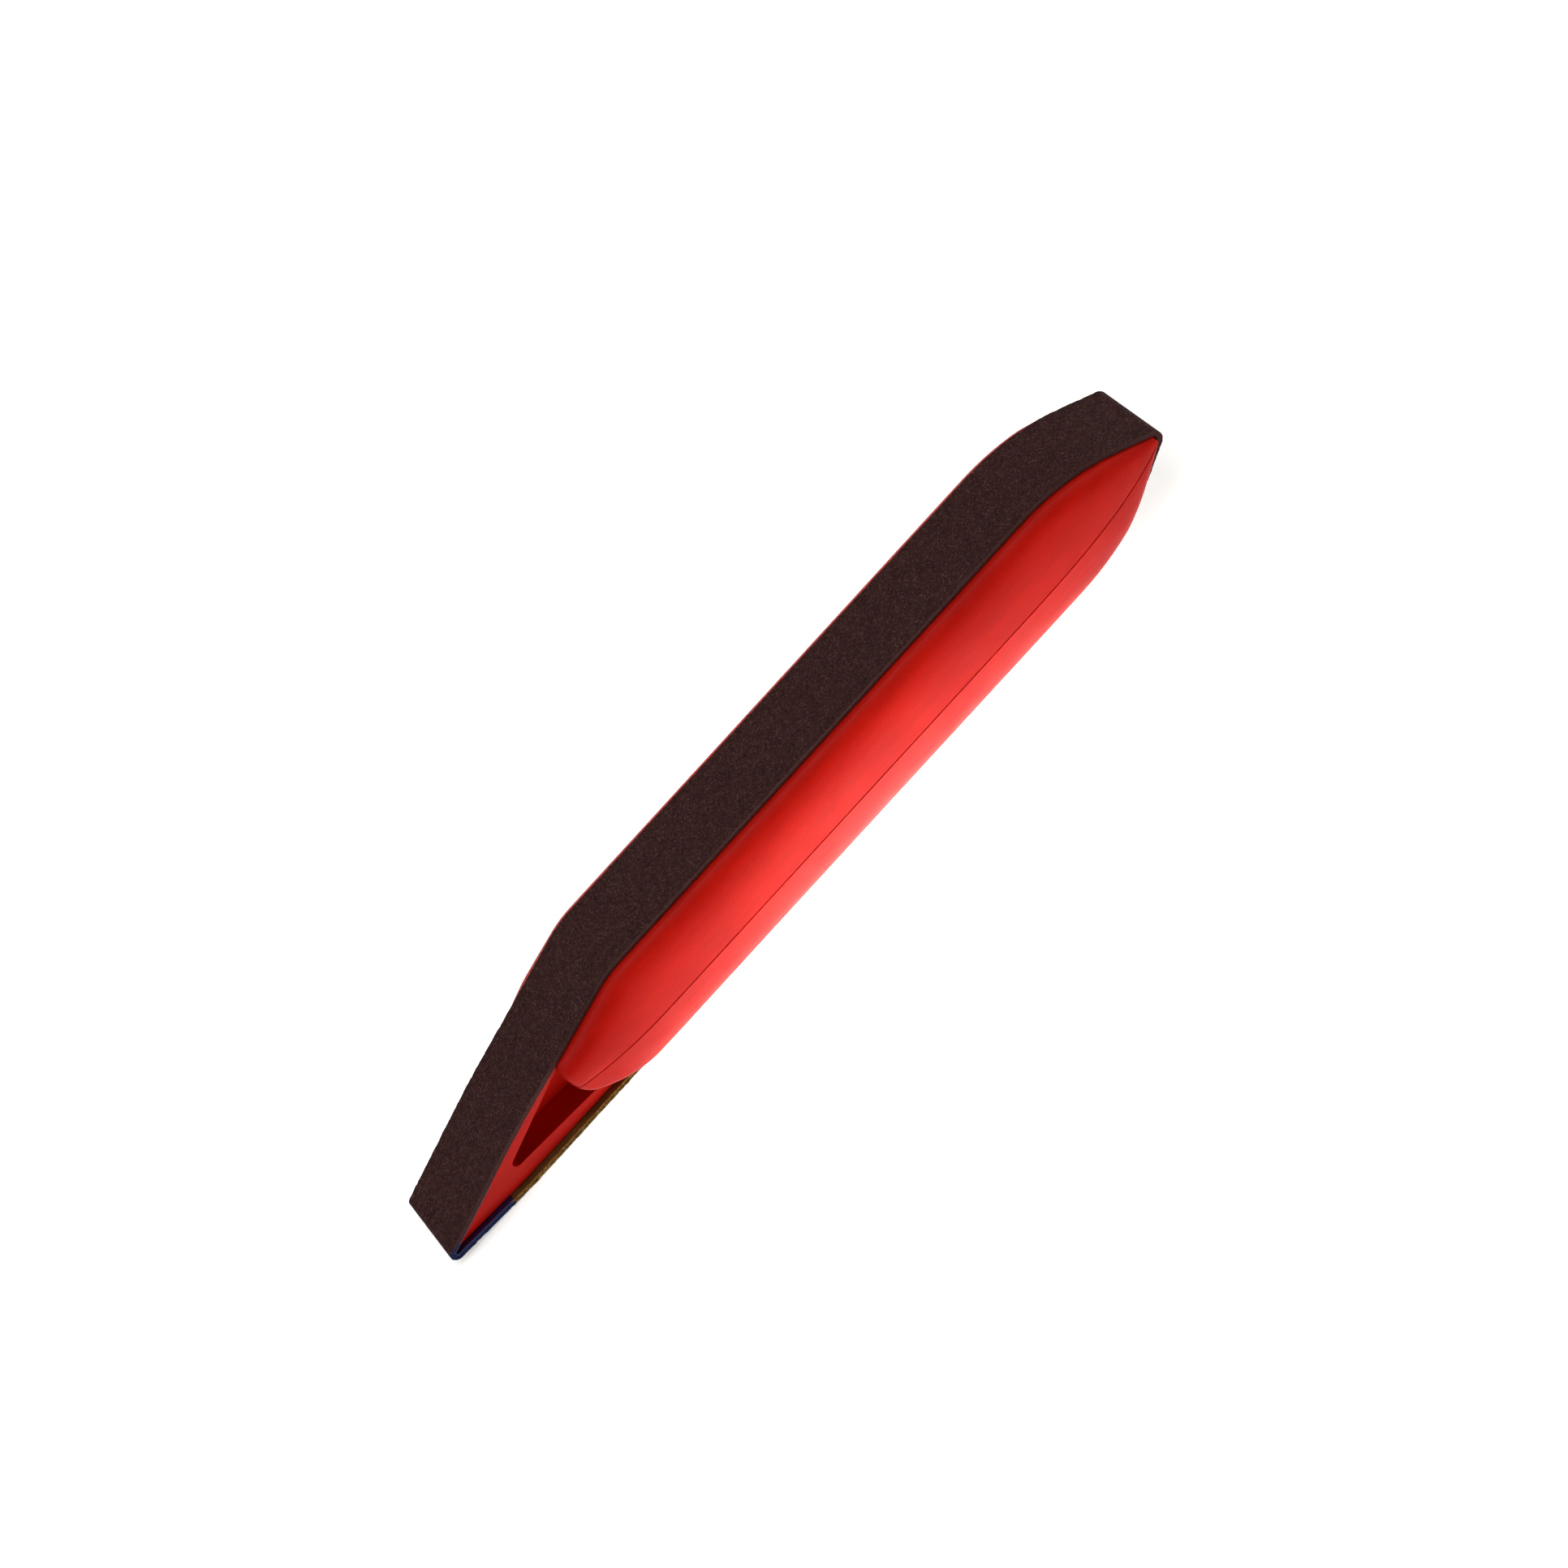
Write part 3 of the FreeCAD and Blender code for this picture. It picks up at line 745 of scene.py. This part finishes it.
def peg_tools(radius, low, high):
    """Cylinders where the lower shell's pegs or the upper shell's sockets are."""
    return [
        peg_cutter(TIP_X + place * MM, sign * PEG_SIDE, radius, low, high)
        for place in PEG_PLACES for sign in (1, -1)
    ]


upper = shell_blank("upper_shell_skin", 1)
combine(upper, inside_cutters(), "DIFFERENCE")
sockets = peg_tools(PEG_RADIUS + PEG_PLAY, SEAM_Z - MM, SEAM_Z + PEG_HEIGHT + SOCKET_SPARE)
combine(upper, sockets, "DIFFERENCE")
lower = shell_blank("lower_shell_skin", -1)
combine(lower, inside_cutters(), "DIFFERENCE")
combine(lower, peg_tools(PEG_RADIUS, SEAM_Z - PEG_ROOT, SEAM_Z + PEG_HEIGHT), "UNION")
for shell in (upper, lower):
    shell.data.polygons.foreach_set("use_smooth", [True] * len(shell.data.polygons))
    sharpen(shell, SHELL_SHARP_DEGREES)

# ---------------------------------------------------------------- frame nodes that stay

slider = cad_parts["tip_slider"]
slider.data.materials.clear()
slider.data.materials.append(TIP_RED)
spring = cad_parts["tension_spring"]
spring.data.materials.clear()
spring.data.materials.append(STEEL)
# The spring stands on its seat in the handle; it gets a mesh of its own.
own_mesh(spring)

# ---------------------------------------------------------------- what each piece stands for

for piece, node, body, slot in (
    (upper, "upper_shell", "holder", "handle_plastic"),
    (lower, "lower_shell", "holder", "handle_plastic"),
    (grit_coat, "belt_grit_coat", "belt", "abrasive_grit"),
    (backing, "belt_backing", "belt", "belt_cloth"),
    (tape, "belt_splice_tape", "belt", "splice_film"),
):
    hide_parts(node)
    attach(piece, body)

# ---------------------------------------------------------------- floor, light and camera


def area_light(name, place, aim, size, watts):
    """White rectangular lamp at one place, turned towards another."""
    data = bpy.data.lights.new(name, "AREA")
    data.shape = "RECTANGLE"
    data.size, data.size_y = size
    data.energy = watts
    lamp = bpy.data.objects.new(name, data)
    direction = Vector(aim) - Vector(place)
    lamp.matrix_world = Matrix.Translation(place) @ direction.to_track_quat("-Z", "Y").to_matrix().to_4x4()
    bpy.context.scene.collection.objects.link(lamp)


FLOOR_HALF = 3.0
# Centre, reach and strength of a painted pool of light on the paper in front of the stick, then reach and
# strength of the painted shade round it.
PAINTED_LIGHT_CENTRE = (0.008, -0.035, 0)
PAINTED_LIGHT_RADIUS = 0.084
PAINTED_LIGHT_STRENGTH = 6.5
PAINTED_SHADE_RADIUS = 0.35
PAINTED_SHADE_STRENGTH = 0.62
PAPER_STRENGTH = 1.0


def nearness(nodes, offset, radius):
    """1 at the centre that the offset is measured from, falling evenly to 0 at the radius."""
    scaled = nodes.add("ShaderNodeVectorMath", {0: offset, "Scale": 1 / radius}, operation="SCALE")
    return nodes.add(
        "ShaderNodeTexGradient", {"Vector": scaled.outputs[0]}, gradient_type="SPHERICAL"
    ).outputs["Fac"]


def studio():
    """Glowing paper floor with painted shade round the stick and a painted pool of light in front of it,
    pale surroundings and five soft lamps.
    """
    half = FLOOR_HALF
    corners = [(-half, -half, 0), (half, -half, 0), (half, half, 0), (-half, half, 0)]
    nodes = Nodes("floor_paper_with_painted_light")
    fibre = nodes.noise(0.02, 3, 0.5)
    colour = nodes.ramp(fibre, [(0.3, (0.90, 0.90, 0.90)), (0.7, (0.93, 0.93, 0.93))])
    # The paper glows like a light table, with painted shade round the stick and a painted pool of light in
    # front of it.
    offset = nodes.add("ShaderNodeVectorMath", {0: nodes.coordinates, 1: PAINTED_LIGHT_CENTRE}, operation="SUBTRACT")
    # Painted pool of light on the paper in front of the stick.
    painted_light = nodes.math("POWER", nearness(nodes, offset.outputs[0], PAINTED_LIGHT_RADIUS), 2.0)
    strength = nodes.math("MULTIPLY", painted_light, PAINTED_LIGHT_STRENGTH)
    # Painted shade on the paper round the stick.
    painted_shade = nodes.math("MULTIPLY", nearness(nodes, offset.outputs[0], PAINTED_SHADE_RADIUS), PAINTED_SHADE_STRENGTH)
    strength = nodes.math("SUBTRACT", nodes.math("ADD", strength, PAPER_STRENGTH), painted_shade)
    paper = nodes.finish(
        Base_Color=colour, Roughness=0.9, Emission_Color=(1, 1, 0.96), Emission_Strength=strength
    )
    floor = make_piece("floor", corners, [(0, 1, 2, 3)], paper, False)

    world = bpy.data.worlds.new("studio")
    world.use_nodes = True
    tree = world.node_tree
    direction = tree.nodes.new("ShaderNodeTexCoord").outputs["Generated"]
    height = tree.nodes.new("ShaderNodeSeparateXYZ")
    tree.links.new(direction, height.inputs["Vector"])
    fade = tree.nodes.new("ShaderNodeValToRGB")
    tree.links.new(height.outputs["Z"], fade.inputs["Fac"])
    for element, (position, level) in zip(fade.color_ramp.elements, ((0.02, 0.24), (0.55, 0.03))):
        element.position = position
        element.color = (level, level, level, 1)
    tree.links.new(fade.outputs["Color"], tree.nodes["Background"].inputs["Color"])
    bpy.context.scene.world = world

    area_light("front_softbox", (0.01, -0.62, 0.13), (0, 0, 0.01), (0.45, 0.22), 0.6)
    area_light("top_softbox", (0, 0, 0.70), (0, 0, 0), (0.6, 0.4), 2.0)
    area_light("back_softbox", (0.0, 0.62, 0.34), (0, 0, 0), (1.0, 0.3), 1.0)
    for sign in (-1, 1):
        area_light("side_softbox", (sign * 0.60, 0.10, 0.60), (0, 0, 0), (0.4, 0.5), 1.3)
    bpy.context.scene.view_settings.view_transform = "Standard"


CAMERA_AZIMUTH = math.radians(2.02)
CAMERA_ELEVATION = math.radians(47.2)
CAMERA_ROLL = math.radians(48.95)
CAMERA_DISTANCE = 0.442
CAMERA_LENS = 74.7
CAMERA_TARGET = Vector((4.9 * MM, 0, 10.86 * MM))


def camera():
    """Camera above the near side, rolled so that the stick runs from lower left to upper right."""
    level = math.cos(CAMERA_ELEVATION)
    back = Vector((
        math.sin(CAMERA_AZIMUTH) * level,
        -math.cos(CAMERA_AZIMUTH) * level,
        math.sin(CAMERA_ELEVATION),
    ))
    flat_right = (-back).cross(Vector((0, 0, 1))).normalized()
    flat_up = flat_right.cross(-back)
    right = flat_right * math.cos(CAMERA_ROLL) - flat_up * math.sin(CAMERA_ROLL)
    up = flat_up * math.cos(CAMERA_ROLL) + flat_right * math.sin(CAMERA_ROLL)
    data = bpy.data.cameras.new("camera")
    data.sensor_width = 36
    data.lens = CAMERA_LENS
    data.clip_start = 0.01
    eye = bpy.data.objects.new("camera", data)
    turn = Matrix((right, up, back)).transposed().to_4x4()
    eye.matrix_world = Matrix.Translation(CAMERA_TARGET + back * CAMERA_DISTANCE) @ turn
    bpy.context.scene.collection.objects.link(eye)
    bpy.context.scene.camera = eye


studio()
camera()
